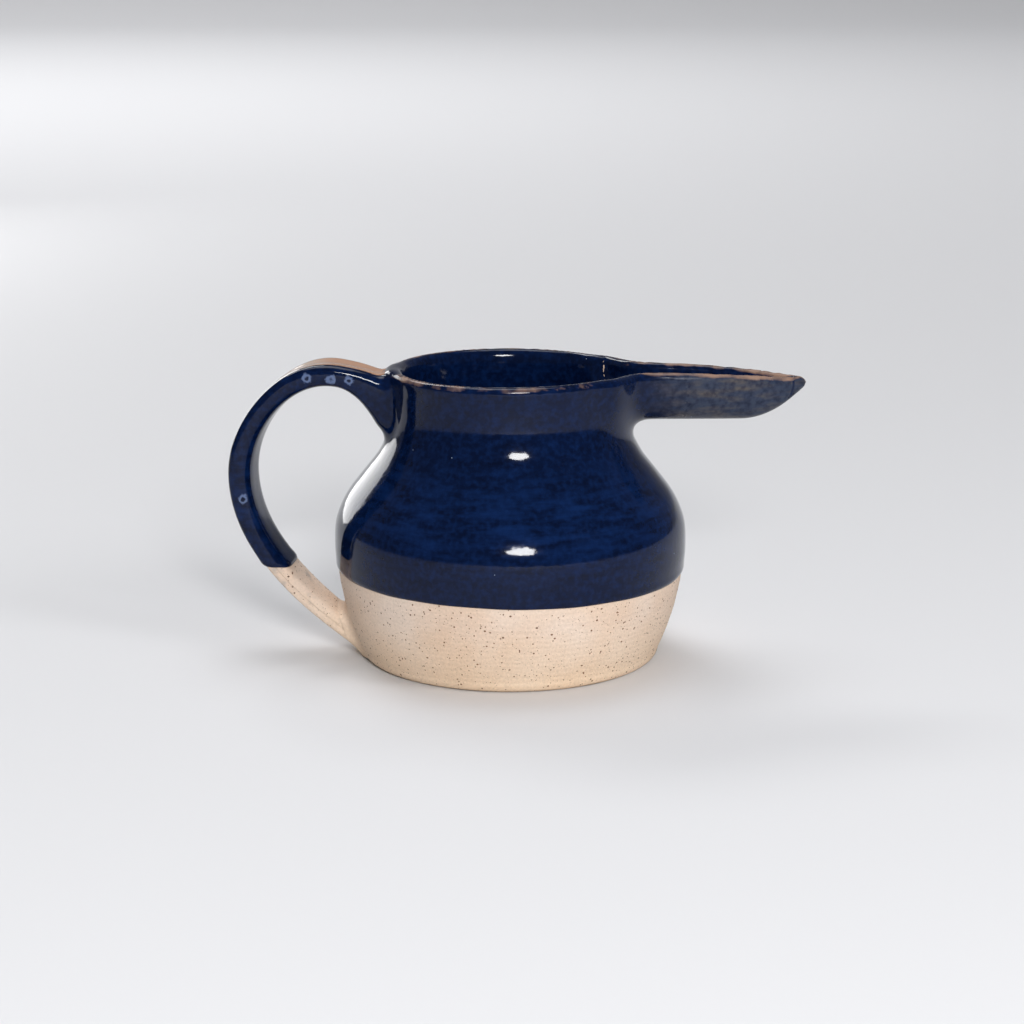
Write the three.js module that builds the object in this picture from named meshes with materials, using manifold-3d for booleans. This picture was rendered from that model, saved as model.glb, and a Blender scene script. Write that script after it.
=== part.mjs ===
// A stoneware pitcher: a wheel-thrown vessel on a flat foot, a long open spout luted on to its neck, a pulled
// strap handle, the clay worked round the three joins, and the coats of glaze over all above the dip line.
// Millimetres, +Z up. The origin is the centre of the foot's resting face, the spout points along +X and the
// handle stands out along -X. The pitcher is symmetric about the XZ plane.
import * as THREE from "three";
import { mergeVertices } from "three/addons/utils/BufferGeometryUtils.js";
import Module from "manifold-3d";

// ---- thrown vessel, bare clay
const rimHeight = 90.3;
const footRadius = 43.6; // of the resting face
const footEdge = 3.2; // radius of the rounded edge round the foot
const bellyRadius = 54.35;
const bellyHeight = 38; // where the belly is widest
const neckRadius = 35.8;
const collarHeight = 10.3; // rim down to where the neck is narrowest
const lipFlare = 0.8; // how far the lip turns out past the neck
const floorThickness = 5.5;
const wallAtFoot = 5;
const wallAtRim = 2.6;
const floorCorner = 14; // radius between the floor and the wall, inside

// ---- spout, an open trough that narrows to a beak
const spoutReach = 91.2; // tip, from the vessel's axis
const spoutWidth = 21.4; // over its walls, where it leaves the neck
const spoutDepth = 15; // lip to underside
const spoutWall = 2.2;
const spoutDroop = 4; // how far the tip hangs below the rim
const spoutFlare = 11; // extra half width where its walls run into the rim
const flareFade = 7.8; // distance over which the flare dies away
const beakLength = 20; // stretch over which the underside rises to the tip
const tipDepth = 1.6; // depth that is left at the tip

// ---- strap handle
const strapWidth = 16;
const strapThickness = 6;
const strapCorner = 1.3; // corner radius of its section
const strapRootDepth = 14; // thickness where it springs from the neck
const rootFade = 14; // length of strap over which that thickness dies away
const fingerGap = 26; // belly to strap, at the widest place
const archOut = 20.4; // neck to the top of the arch
const archFall = 0.9; // rim to the middle of the strap at the top of the arch
const archSide = 58; // height of the strap's outermost place
const neckJoinDrop = 10.8; // rim down to where its middle line meets the neck
const footJoinHeight = 6.5; // where its middle line meets the wall near the foot
const rootRunOn = 8; // how far the strap runs on past its root into the wall, where it is cut away
const footRunOn = 4; // the same at its foot, twice: down along the strap, and then level

// ---- clay worked round the joins
const luteThickness = 2.2; // how far it stands off the wall
const luteMargin = 2.4; // how far it spreads past the piece that it holds

// ---- glaze
const dipLine = 28.2; // height that the glaze reaches down to on the outside
const glazeThickness = 0.5;

const clearance = 0.2; // between pieces that meet
const turnSegments = 36;
const overrun = 12; // how far a cutting body runs past what it cuts

const clay = { color: 0xd8b79c, roughness: 0.9, metalness: 0 };
const glaze = { color: 0x101c3f, roughness: 0.12, metalness: 0 };

const wasm = await Module();
wasm.setup();

// ---- solids and meshes

// A closed three.js geometry as a solid that can be cut and joined.
function solidFrom(geometry) {
  const bare = geometry.clone();
  bare.deleteAttribute("normal");
  bare.deleteAttribute("uv");
  const merged = mergeVertices(bare, 1e-4);
  return new wasm.Manifold(
    new wasm.Mesh({
      numProp: 3,
      vertProperties: new Float32Array(merged.attributes.position.array),
      triVerts: new Uint32Array(merged.index.array),
    }),
  );
}

function geometryFrom(solid) {
  const mesh = solid.getMesh();
  const geometry = new THREE.BufferGeometry();
  geometry.setAttribute("position", new THREE.BufferAttribute(mesh.vertProperties, 3));
  geometry.setIndex(new THREE.BufferAttribute(mesh.triVerts, 1));
  geometry.computeVertexNormals();
  return geometry;
}

// A profile of (radius, height) points turned round the Z axis. It starts on the axis at the bottom and ends
// on the axis at the top.
function turned(points) {
  const geometry = new THREE.LatheGeometry(points, turnSegments);
  return solidFrom(geometry.rotateX(Math.PI / 2));
}

function middleOf(points) {
  return points.reduce((sum, p) => sum.add(p), new THREE.Vector3()).divideScalar(points.length);
}

// Rings with equal numbers of points, joined each to the next, with a flat cap over both ends. Seen from the
// last ring, each ring runs anticlockwise.
function lofted(rings) {
  const count = rings[0].length;
  const startCap = rings.length * count;
  const endCap = startCap + 1;
  const faces = [];
  for (let j = 0; j < count; j++) {
    const next = (j + 1) % count;
    faces.push(startCap, next, j);
    for (let row = 0; row < rings.length - 1; row++) {
      const a = row * count + j;
      const b = row * count + next;
      faces.push(a, b, b + count, a, b + count, a + count);
    }
    const lastRow = startCap - count;
    faces.push(endCap, lastRow + j, lastRow + next);
  }
  const vertices = [...rings.flat(), middleOf(rings[0]), middleOf(rings.at(-1))];
  const geometry = new THREE.BufferGeometry().setFromPoints(vertices);
  geometry.setIndex(faces);
  return solidFrom(geometry);
}

function joined(...solids) {
  return solids.reduce((whole, solid) => whole.add(solid));
}

// ---- thrown vessel

// The clay's outside from the foot's resting face to the lip, as (radius, height) points.
function wallOutline() {
  const neckHeight = rimHeight - collarHeight;
  const edgeTop = new THREE.Vector2(footRadius + footEdge, footEdge);
  const belly = new THREE.Vector2(bellyRadius, bellyHeight);
  const neck = new THREE.Vector2(neckRadius, neckHeight);
  const lip = new THREE.Vector2(neckRadius + lipFlare, rimHeight);
  const swell = bellyHeight - footEdge;
  const shoulder = neckHeight - bellyHeight;
  const footArc = new THREE.EllipseCurve(footRadius, footEdge, footEdge, footEdge, -Math.PI / 2, 0);
  const bowl = new THREE.QuadraticBezierCurve(
    edgeTop,
    new THREE.Vector2(bellyRadius, footEdge + 0.45 * swell),
    belly,
  );
  const crown = new THREE.CubicBezierCurve(
    belly,
    new THREE.Vector2(bellyRadius, bellyHeight + 0.43 * shoulder),
    new THREE.Vector2(neckRadius, neckHeight - 0.48 * shoulder),
    neck,
  );
  const collar = new THREE.QuadraticBezierCurve(
    neck,
    new THREE.Vector2(neckRadius, (neckHeight + rimHeight) / 2),
    lip,
  );
  return [
    ...footArc.getPoints(2),
    ...bowl.getPoints(4).slice(1),
    ...crown.getPoints(9).slice(1),
    ...collar.getPoints(2).slice(1),
  ];
}

const outline = wallOutline();

function outsideRadius(height) {
  const above = outline.findIndex((p) => p.y >= height);
  const high = outline[above];
  const low = outline[above - 1];
  return THREE.MathUtils.mapLinear(height, low.y, high.y, low.x, high.x);
}

function insideRadius(height) {
  const wall = THREE.MathUtils.mapLinear(height, 0, rimHeight, wallAtFoot, wallAtRim);
  return outsideRadius(height) - wall;
}

// The vessel without its hollow, grown by an offset all over.
function vesselBody(offset) {
  const last = outline.length - 1;
  const grown = outline.map((p, i) => {
    const along = outline[Math.min(i + 1, last)].clone().sub(outline[Math.max(i - 1, 0)]).normalize();
    return new THREE.Vector2(p.x + along.y * offset, p.y - along.x * offset);
  });
  grown[0].y = -offset;
  grown[last].y = rimHeight + offset;
  return turned([new THREE.Vector2(0, -offset), ...grown, new THREE.Vector2(0, rimHeight + offset)]);
}

// The hollow inside the vessel, made smaller by a lining, and run on past the rim.
function hollowBody(lining) {
  const floor = floorThickness + lining;
  const cornerTop = floorThickness + floorCorner;
  const wallFoot = insideRadius(cornerTop) - lining;
  const round = floorCorner - lining;
  const corner = new THREE.EllipseCurve(wallFoot - round, cornerTop, round, round, -Math.PI / 2, 0);
  const top = rimHeight + overrun;
  const wall = outline
    .filter((p) => p.y > cornerTop + 1)
    .map((p) => new THREE.Vector2(insideRadius(p.y) - lining, p.y));
  return turned([
    new THREE.Vector2(0, floor),
    ...corner.getPoints(4),
    ...wall,
    new THREE.Vector2(wall.at(-1).x, top),
    new THREE.Vector2(0, top),
  ]);
}

// ---- spout

const spoutRoot = neckRadius - 7; // the trough starts inside the neck, and is cut back to the neck's wall

function spoutHalfWidth(x) {
  const share = Math.max((x - neckRadius) / (spoutReach - neckRadius), 0);
  const taper = Math.pow(Math.max(1 - Math.pow(share, 1.6), 0), 0.65);
  const flare = spoutFlare * Math.exp(-Math.pow((x - spoutRoot) / flareFade, 2));
  return (spoutWidth / 2) * taper + flare;
}

// How much further an offset square to the spout's side reaches when it is measured straight across.
function acrossPerOffset(x) {
  const step = 0.5;
  const slope = (spoutHalfWidth(x + step) - spoutHalfWidth(x - step)) / (2 * step);
  return Math.min(Math.hypot(1, slope), 2.5);
}

function spoutLip(x) {
  const share = Math.max((x - neckRadius) / (spoutReach - neckRadius), 0);
  return rimHeight - spoutDroop * share * share;
}

function spoutUnderside(x) {
  const share = Math.max((x - spoutReach + beakLength) / beakLength, 0);
  return rimHeight - spoutDepth + (spoutDepth - spoutDroop - tipDepth) * share * share;
}

// One U section of the trough: a flat top, then down one side, round the bottom and up the other.
function troughSection(x, halfWidth, top, bottom) {
  const steps = 10;
  const squareness = 2.5; // 2 is half an ellipse, and more gives straighter sides and a flatter bottom
  const section = [];
  for (let i = 0; i <= steps; i++) {
    const turn = Math.PI * (i / steps - 0.5);
    const across = Math.sign(turn) * Math.pow(Math.abs(Math.sin(turn)), 2 / squareness);
    const down = Math.pow(Math.max(Math.cos(turn), 0), 2 / squareness);
    section.push(new THREE.Vector3(x, halfWidth * across, top - (top - bottom) * down));
  }
  return section;
}

// The trough without its channel, grown by an offset all over, and its top by a rise.
function spoutBody(offset, rise = offset) {
  const stations = 12;
  const sectionAt = (x, station) => {
    const halfWidth = Math.max(spoutHalfWidth(x), 0.5) + offset * acrossPerOffset(x);
    return troughSection(station, halfWidth, spoutLip(x) + rise, spoutUnderside(x) - offset);
  };
  const rings = [sectionAt(spoutRoot, spoutRoot - 1 - offset)];
  for (let i = 0; i <= stations; i++) {
    const share = Math.pow(i / stations, 0.85);
    const x = THREE.MathUtils.lerp(spoutRoot, spoutReach, share);
    rings.push(sectionAt(x, x + offset * share));
  }
  return lofted(rings);
}

// The channel along the trough, made smaller by a lining. It runs up past the lip, and back into the vessel.
function channelBody(lining) {
  const stations = 12;
  const inset = spoutWall + lining;
  const top = rimHeight + overrun;
  const rings = [];
  for (let i = 0; i <= stations; i++) {
    const station = THREE.MathUtils.lerp(spoutRoot - overrun, spoutReach - 2 * inset, i / stations);
    const x = Math.max(station, spoutRoot);
    const halfWidth = Math.max(spoutHalfWidth(x) - inset * acrossPerOffset(x), 0.4);
    const bottom = Math.min(spoutUnderside(x) + inset, spoutLip(x) - 1);
    rings.push([
      ...troughSection(station, halfWidth, spoutLip(x), bottom),
      new THREE.Vector3(station, halfWidth, top),
      new THREE.Vector3(station, -halfWidth, top),
    ]);
  }
  return lofted(rings);
}

function troughBody(offset) {
  return spoutBody(offset).subtract(channelBody(offset));
}

// ---- strap handle

// The strap's middle line in the XZ plane: out of the neck, over the arch and down to the foot of the wall.
function strapPath() {
  const at = (x, z) => new THREE.Vector3(x, 0, z);
  const neckJoinHeight = rimHeight - neckJoinDrop;
  const neckJoin = at(-outsideRadius(neckJoinHeight), neckJoinHeight);
  const arch = at(-neckRadius - archOut, rimHeight - archFall);
  const side = at(-bellyRadius - fingerGap - strapThickness / 2, archSide);
  const footJoin = at(-outsideRadius(footJoinHeight), footJoinHeight);
  const out = neckJoin.x - arch.x;
  const rise = arch.z - neckJoin.z;
  const over = arch.x - side.x;
  const fall = arch.z - side.z;
  const back = footJoin.x - side.x;
  const drop = side.z - footJoin.z;
  const leaving = at(neckJoin.x - 0.28 * out, neckJoin.z + 0.5 * rise);
  const landing = at(footJoin.x - 0.59 * back, footJoin.z + 0.31 * drop);
  const runOn = (join, next, length) => join.clone().sub(next).setLength(length).add(join);
  const footBend = runOn(footJoin, landing, footRunOn);
  const path = new THREE.CurvePath();
  path.add(new THREE.LineCurve3(runOn(neckJoin, leaving, rootRunOn), neckJoin));
  path.add(new THREE.CubicBezierCurve3(neckJoin, leaving, at(arch.x + 0.41 * out, arch.z), arch));
  path.add(
    new THREE.CubicBezierCurve3(arch, at(arch.x - 0.48 * over, arch.z), at(side.x, side.z + 0.52 * fall), side),
  );
  path.add(new THREE.CubicBezierCurve3(side, at(side.x, side.z - 0.38 * drop), landing, footJoin));
  path.add(new THREE.QuadraticBezierCurve3(footJoin, footBend, at(footBend.x + footRunOn, footBend.z)));
  return path;
}

// A rectangle with rounded corners, as points that run anticlockwise.
function roundedRectangle(width, height, corner) {
  const x = width / 2 - corner;
  const y = height / 2 - corner;
  const quarter = Math.PI / 2;
  const shape = new THREE.Shape();
  shape.absarc(x, y, corner, 0, quarter);
  shape.absarc(-x, y, corner, quarter, 2 * quarter);
  shape.absarc(-x, -y, corner, 2 * quarter, 3 * quarter);
  shape.absarc(x, -y, corner, 3 * quarter, 4 * quarter);
  return shape.getPoints(1);
}

// The strap, grown by an offset all over.
function strapBody(offset) {
  const stations = 26;
  const path = strapPath();
  const length = path.getLength();
  const rings = [];
  for (let i = 0; i <= stations; i++) {
    const share = i / stations;
    const middle = path.getPointAt(share);
    const along = path.getTangentAt(share);
    const across = new THREE.Vector3(-along.z, 0, along.x);
    const nearRoot = THREE.MathUtils.clamp(1 - (share * length - rootRunOn) / rootFade, 0, 1);
    const thickness = strapThickness + (strapRootDepth - strapThickness) * nearRoot ** 1.5 + 2 * offset;
    const section = roundedRectangle(strapWidth + 2 * offset, thickness, strapCorner + offset);
    rings.push(
      section.map((p) => new THREE.Vector3(0, p.x, 0).addScaledVector(across, p.y).add(middle)),
    );
  }
  return lofted(rings);
}

// ---- clay round the joins, each as the filled region that it spreads over, grown by an offset

function spoutLuteBody(offset) {
  return vesselBody(luteThickness + offset).intersect(spoutBody(luteMargin + offset, offset));
}

const strapCollar = (offset) => vesselBody(luteThickness + offset).intersect(strapBody(luteMargin + offset));

function slab(bottom, top) {
  const side = 4 * spoutReach;
  return solidFrom(new THREE.BoxGeometry(side, side, top - bottom).translate(0, 0, (bottom + top) / 2));
}

function topLuteBody(offset) {
  return strapCollar(offset).intersect(slab(bellyHeight, rimHeight + offset));
}

function footLuteBody(offset) {
  return strapCollar(offset).intersect(slab(footEdge / 2, bellyHeight));
}

// ---- pieces

const pieces = [];

function addPiece(name, solid, finish) {
  const mesh = new THREE.Mesh(geometryFrom(solid), new THREE.MeshStandardMaterial(finish));
  mesh.name = name;
  pieces.push(mesh);
}

const vesselClear = vesselBody(clearance);
const glazeOuter = clearance + glazeThickness; // a coat's outer face, from the clay under it
const glazeClear = glazeOuter + clearance;
const bareZone = slab(-overrun, dipLine);

addPiece("thrown_vessel", vesselBody(0).subtract(hollowBody(0)).subtract(channelBody(0)), clay);
addPiece("spout_trough", troughBody(0).subtract(vesselClear), clay);
addPiece("strap_handle", strapBody(0).subtract(vesselClear), clay);
addPiece("spout_lute", spoutLuteBody(0).subtract(joined(vesselClear, spoutBody(clearance))), clay);
addPiece("handle_top_lute", topLuteBody(0).subtract(joined(vesselClear, strapBody(clearance))), clay);
addPiece("handle_foot_lute", footLuteBody(0).subtract(joined(vesselClear, strapBody(clearance))), clay);

function lutedVessel(offset) {
  return joined(vesselBody(offset), spoutLuteBody(offset), topLuteBody(offset));
}

const outsideCoat = lutedVessel(glazeOuter)
  .subtract(lutedVessel(clearance))
  .subtract(joined(bareZone, hollowBody(0), channelBody(0), troughBody(clearance), strapBody(clearance)));
const linerCoat = joined(hollowBody(clearance), channelBody(clearance))
  .subtract(joined(hollowBody(glazeOuter), channelBody(glazeOuter)))
  .intersect(vesselBody(0));
const spoutCoat = troughBody(glazeOuter).subtract(joined(troughBody(clearance), lutedVessel(glazeClear)));
const strapCoat = strapBody(glazeOuter).subtract(
  joined(strapBody(clearance), lutedVessel(glazeClear), bareZone),
);

addPiece("glaze_outside", outsideCoat, glaze);
addPiece("glaze_liner", linerCoat, glaze);
addPiece("glaze_spout", spoutCoat, glaze);
addPiece("glaze_handle", strapCoat, glaze);

const pitcher = new THREE.Group();
pitcher.add(...pieces);
export default pitcher;
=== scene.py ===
# Stoneware pitcher: a thrown vessel with a long open spout and a pulled strap handle, dipped in cobalt
# glaze down to a level line, with the foot left as bare clay. The clay pieces follow the frame, and the
# glaze is one smooth coat over all of them.
import math
import time

import bmesh
import bpy
import numpy as np
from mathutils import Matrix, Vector


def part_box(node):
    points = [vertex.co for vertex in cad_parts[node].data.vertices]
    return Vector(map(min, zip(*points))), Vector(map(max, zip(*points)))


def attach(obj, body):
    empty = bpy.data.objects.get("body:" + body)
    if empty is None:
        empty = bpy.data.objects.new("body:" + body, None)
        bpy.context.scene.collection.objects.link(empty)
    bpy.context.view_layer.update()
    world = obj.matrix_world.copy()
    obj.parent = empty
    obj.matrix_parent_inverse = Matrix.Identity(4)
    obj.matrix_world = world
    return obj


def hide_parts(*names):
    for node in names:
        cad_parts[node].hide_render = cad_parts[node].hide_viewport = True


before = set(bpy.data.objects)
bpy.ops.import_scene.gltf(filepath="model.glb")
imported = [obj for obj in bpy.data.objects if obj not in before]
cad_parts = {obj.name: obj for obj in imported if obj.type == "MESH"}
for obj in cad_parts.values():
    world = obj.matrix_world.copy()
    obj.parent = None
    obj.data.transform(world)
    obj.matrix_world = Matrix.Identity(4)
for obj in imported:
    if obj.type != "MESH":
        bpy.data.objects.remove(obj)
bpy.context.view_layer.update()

mm = 0.001
began = time.time()


def boxMm(node):
    low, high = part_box(node)
    return np.array(low) / mm, np.array(high) / mm


clayLow, clayHigh = boxMm("thrown_vessel")
spoutLow, spoutHigh = boxMm("spout_trough")
strapLow, strapHigh = boxMm("strap_handle")


def report(stage):
    print(f"{stage}: {time.time() - began:.1f} s")


# small helpers for colours, nodes and meshes

def toLinear(hexColour):
    channels = [(hexColour >> s & 255) / 255 for s in (16, 8, 0)]
    return [c / 12.92 if c <= 0.04045 else ((c + 0.055) / 1.055) ** 2.4 for c in channels] + [1.0]


def addNode(tree, kind, settings=None, **links):
    # adds a node, sets its properties, and feeds its inputs with values or with other nodes; i0 is the first
    # input, and a named input is written with _ for a space
    node = tree.nodes.new(kind)
    for name, value in (settings or {}).items():
        setattr(node, name, value)
    for name, value in links.items():
        key = int(name[1:]) if name[1:].isdigit() else name.replace("_", " ")
        if isinstance(value, bpy.types.Node):
            value = value.outputs[0]
        if isinstance(value, bpy.types.NodeSocket):
            tree.links.new(value, node.inputs[key])
        else:
            node.inputs[key].default_value = value
    return node


def newMaterial(name):
    material = bpy.data.materials.new(name)
    material.use_nodes = True
    material.node_tree.nodes.clear()
    return material, material.node_tree


def newMesh(name, points, edges, faces, material=None):
    # points are in millimetres
    mesh = bpy.data.meshes.new(name)
    mesh.from_pydata(np.asarray(points, float) * mm, edges, faces)
    if material:
        mesh.materials.append(material)
    piece = bpy.data.objects.new(name, mesh)
    bpy.context.scene.collection.objects.link(piece)
    return piece


def pointsOf(piece):
    flat = np.empty(len(piece.data.vertices) * 3)
    piece.data.vertices.foreach_get("co", flat)
    return flat.reshape(-1, 3) / mm


def normalsOf(piece):
    flat = np.empty(len(piece.data.vertices) * 3)
    piece.data.vertices.foreach_get("normal", flat)
    return flat.reshape(-1, 3)


def setPoints(piece, points):
    piece.data.vertices.foreach_set("co", (points * mm).ravel())
    piece.data.update()


def setAttribute(piece, name, values):
    layer = piece.data.attributes.new(name, "FLOAT", "POINT")
    layer.data.foreach_set("value", np.asarray(values, np.float32))


def tidyMesh(piece):
    # joins doubles, then turns every face outwards
    shell = bmesh.new()
    shell.from_mesh(piece.data)
    bmesh.ops.remove_doubles(shell, verts=shell.verts, dist=0.004 * mm)
    bmesh.ops.dissolve_degenerate(shell, edges=shell.edges, dist=0.002 * mm)
    bmesh.ops.recalc_face_normals(shell, faces=shell.faces)
    shell.to_mesh(piece.data)
    shell.free()
    piece.data.shade_smooth()
    return piece


def newTree(name, inputs):
    # a geometry tree whose sizes are named inputs
    tree = bpy.data.node_groups.new(name, "GeometryNodeTree")
    tree.interface.new_socket("Geometry", in_out="INPUT", socket_type="NodeSocketGeometry")
    for label, kind in inputs.items():
        tree.interface.new_socket(label, in_out="INPUT", socket_type="NodeSocket" + kind)
    tree.interface.new_socket("Geometry", in_out="OUTPUT", socket_type="NodeSocketGeometry")
    return tree, tree.nodes.new("NodeGroupInput").outputs


def endTree(tree, geometry, material):
    real = addNode(tree, "GeometryNodeRealizeInstances", Geometry=geometry)
    painted = addNode(tree, "GeometryNodeSetMaterial", Geometry=real, Material=material)
    addNode(tree, "NodeGroupOutput", Geometry=painted)


def applied(piece):
    # the piece's evaluated shape as a plain mesh
    depsgraph = bpy.context.evaluated_depsgraph_get()
    mesh = bpy.data.meshes.new_from_object(piece.evaluated_get(depsgraph), depsgraph=depsgraph)
    piece.modifiers.clear()
    piece.data = mesh
    return piece


def grown(piece, tree, values):
    modifier = piece.modifiers.new("shape", "NODES")
    modifier.node_group = tree
    for item in tree.interface.items_tree:
        if item.in_out == "INPUT" and item.name in values:
            modifier[item.identifier] = values[item.name]
    return applied(piece)


def cutBy(piece, cutter):
    modifier = piece.modifiers.new("cut", "BOOLEAN")
    modifier.object = cutter
    modifier.solver = "EXACT"
    applied(piece)
    bpy.data.objects.remove(cutter)
    return piece


# the shape's rule, in millimetres

vessel = {
    "rimHeight": clayHigh[2],
    "bellyRadius": clayHigh[0],
    "bellyHeight": 38.0,
    "bowlFullness": 0.45,  # of the height, where the bowl's curve turns upright
    "bellyFullness": 0.43,  # how long the belly stays upright above its widest place
    "neckFullness": 0.48,  # how long the neck stays upright below its narrowest place
    "footRadius": 43.6,
    "footEdge": 3.2,
    "neckRadius": 35.8,
    "collarHeight": 10.3,  # rim down to the narrowest place
    "lipFlare": 0.8,
    "floorThickness": 5.5,
    "floorCorner": 14.0,
    "wallAtFoot": 5.0,
    "wallAtRim": 2.6,
    "throwRipple": 0.035,  # height of the finger rings left by throwing
    "rippleStep": 8.0,
    "turningLine": 0.24,  # depth of the lines turned in the underside
    "turningStep": 3.1,
    "lipRound": 1.2,  # radius of the rounded rim, and its centre below the rim's height
    "lipCentre": 1.4,
    "swell": 0.25,  # height of the broad and of the fine unevenness left by the hand
    "unevenness": 0.10,
}
spout = {
    "reach": spoutHigh[0],
    "width": 21.4,
    "depth": 15.0,
    "wall": 2.3,
    "wallAtBeak": 1.7,
    "end": 3.2,  # of solid clay past the end of the channel
    "notch": 3.0,  # how far past the channel the vessel's wall is cut away
    "underGlaze": 0.2,  # how far its clay lies below the glaze
    "droop": 2.8,
    "flare": 11.0,
    "flareFade": 7.8,
    "beak": 20.0,
    "tipDepth": 1.6,
    "squareness": 2.5,
}
strap = {
    "width": strapHigh[1] - strapLow[1],
    "thickness": 6.6,
    "squareness": 4.0,  # of its section: 2 is an ellipse
    "groove": 0.7,  # depth of the finger groove down its outer face
    "grooveWidth": 5.5,
    "rootDepth": 15.5,
    "rootFade": 19.0,
    "archOut": 20.4,
    "archFall": 0.9,
    "sideHeight": 58.0,
    "neckJoinDrop": 10.8,
    "footJoin": 6.5,
    "rootRunOn": 8.0,
    "footRunOn": 4.0,
    "twist": 0.13,  # how far the section leans round, for each mm across
    "twistFrom": 44.0,  # from the axis, and the length over which the lean grows
    "twistOver": 26.0,
    "tuck": 1.2,  # how far the strap reaches into the vessel's wall
    # how long the middle line keeps its direction at each point: shares of the way to the next
    "leaving": (0.28, 0.5),
    "overArch": (0.41, 0.48),
    "downSide": (0.52, 0.38),
    "landing": (0.59, 0.31),
}
joins = {
    "spout": 7.0,  # softness of the throat where the spout leaves the neck
    "mouth": 5.0,  # softness of the edge where the channel leaves the hollow
    "strap": 5.0,  # and where the strap meets the wall, at both ends
    "lip": 2.3,  # softness of the rim's crest
}


def quadratic(a, b, c, t):
    return np.outer((1 - t) ** 2, a) + np.outer(2 * t * (1 - t), b) + np.outer(t * t, c)


def cubic(a, b, c, d, t):
    s = 1 - t
    return np.outer(s**3, a) + np.outer(3 * s * s * t, b) + np.outer(3 * s * t * t, c) + np.outer(t**3, d)


def wallCurve():
    v = vessel
    neckHeight = v["rimHeight"] - v["collarHeight"]
    edgeTop = (v["footRadius"] + v["footEdge"], v["footEdge"])
    belly = (v["bellyRadius"], v["bellyHeight"])
    neck = (v["neckRadius"], neckHeight)
    shoulder = neckHeight - v["bellyHeight"]
    t = np.linspace(0, 1, 160)
    turnUp = v["footEdge"] + v["bowlFullness"] * (v["bellyHeight"] - v["footEdge"])
    bowl = quadratic(edgeTop, (v["bellyRadius"], turnUp), belly, t)
    aboveBelly = (v["bellyRadius"], v["bellyHeight"] + v["bellyFullness"] * shoulder)
    belowNeck = (v["neckRadius"], neckHeight - v["neckFullness"] * shoulder)
    crown = cubic(belly, aboveBelly, belowNeck, neck, t)
    lip = (v["neckRadius"] + v["lipFlare"], v["rimHeight"])
    collar = quadratic(neck, (v["neckRadius"], (neckHeight + v["rimHeight"]) / 2), lip, t)
    return np.vstack([bowl, crown[1:], collar[1:]])


wall = wallCurve()


def outsideRadius(z):
    radius = np.interp(z, wall[:, 1], wall[:, 0])
    underEdge = np.clip(vessel["footEdge"] - z, 0, vessel["footEdge"])
    radius = radius - vessel["footEdge"] + np.sqrt(vessel["footEdge"] ** 2 - underEdge**2)
    above = np.clip(z - vessel["footEdge"] - 6, 0, 8) / 8
    ripple = np.sin(2 * math.pi * z / vessel["rippleStep"] + 1.3 * np.sin(z / 11.0))
    return radius + vessel["throwRipple"] * above * ripple


def insideRadius(z):
    thinning = (vessel["wallAtRim"] - vessel["wallAtFoot"]) * z / vessel["rimHeight"]
    return np.interp(z, wall[:, 1], wall[:, 0]) - vessel["wallAtFoot"] - thinning


def softMin(a, b, k):
    h = np.maximum(k - np.abs(a - b), 0) / k
    return np.minimum(a, b) - h * h * k / 4


def softMax(a, b, k):
    return -softMin(-a, -b, k)


def radialField(p, radiusAt):
    # distance from a wall that is turned round the axis
    r = np.hypot(p[:, 0], p[:, 1])
    slope = radiusAt(p[:, 2] + 0.5) - radiusAt(p[:, 2] - 0.5)
    return (r - radiusAt(p[:, 2])) / np.sqrt(1 + slope * slope)


def handWobble(p):
    # the slight unevenness of a shape made by hand: a broad swell and a finer one
    x, y, z = p.T
    broad = np.sin(x / 23 + 1.0) * np.sin(y / 27 + z / 31)
    fine = np.sin(z / 8.5 + x / 15) * np.sin(y / 13 + 2)
    return vessel["swell"] * broad + vessel["unevenness"] * fine


spoutRoot = vessel["neckRadius"] - 7


def alongSpout(x):
    return np.clip((x - vessel["neckRadius"]) / (spout["reach"] - vessel["neckRadius"]), 0, 1)


def spoutHalfWidth(x):
    taper = np.maximum(1 - alongSpout(x) ** 1.6, 0) ** 0.65
    flare = spout["flare"] * np.exp(-(((x - spoutRoot) / spout["flareFade"]) ** 2))
    return spout["width"] / 2 * taper + flare


def spoutLip(x):
    return vessel["rimHeight"] - spout["droop"] * alongSpout(x) ** 2


def spoutUnderside(x):
    share = np.clip((x - spout["reach"] + spout["beak"]) / spout["beak"], 0, 1)
    rise = spout["depth"] - spout["droop"] - spout["tipDepth"]
    return vessel["rimHeight"] - spout["depth"] + rise * share**2


def troughShape(p, inset):
    # 0 on the surface of a U-shaped trough that runs up past its lip, and about 1 a half-width outside it
    x, y, z = p.T
    inside = np.maximum(x, spoutRoot)
    slope = spoutHalfWidth(inside + 0.5) - spoutHalfWidth(inside - 0.5)
    square = np.minimum(np.hypot(1, slope), 2.5)  # keeps the inset square to a side that flares
    half = np.maximum(spoutHalfWidth(inside) - inset * square, 0.5)
    lip = spoutLip(x)
    depth = np.maximum(lip - spoutUnderside(x) - inset, 0.6)
    n = spout["squareness"]
    return ((np.abs(y) / half) ** n + (np.maximum(lip - z, 0) / depth) ** n) ** (1 / n) - 1


def fromShape(shape, p, steepest=10.0):
    # turns a shape function into a distance, near its surface
    e = 0.25
    slopes = [(shape(p + step) - shape(p - step)) / (2 * e) for step in np.eye(3) * e]
    return shape(p) / np.clip(np.sqrt(sum(s * s for s in slopes)), 1e-3, steepest)


def within(p, low, high, field, far=12.0):
    # a field that is only worked out inside its box
    inside = np.all((p > low) & (p < high), axis=1)
    result = np.full(len(p), far)
    if inside.any():
        result[inside] = np.minimum(field(p[inside]), far)
    return result


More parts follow.
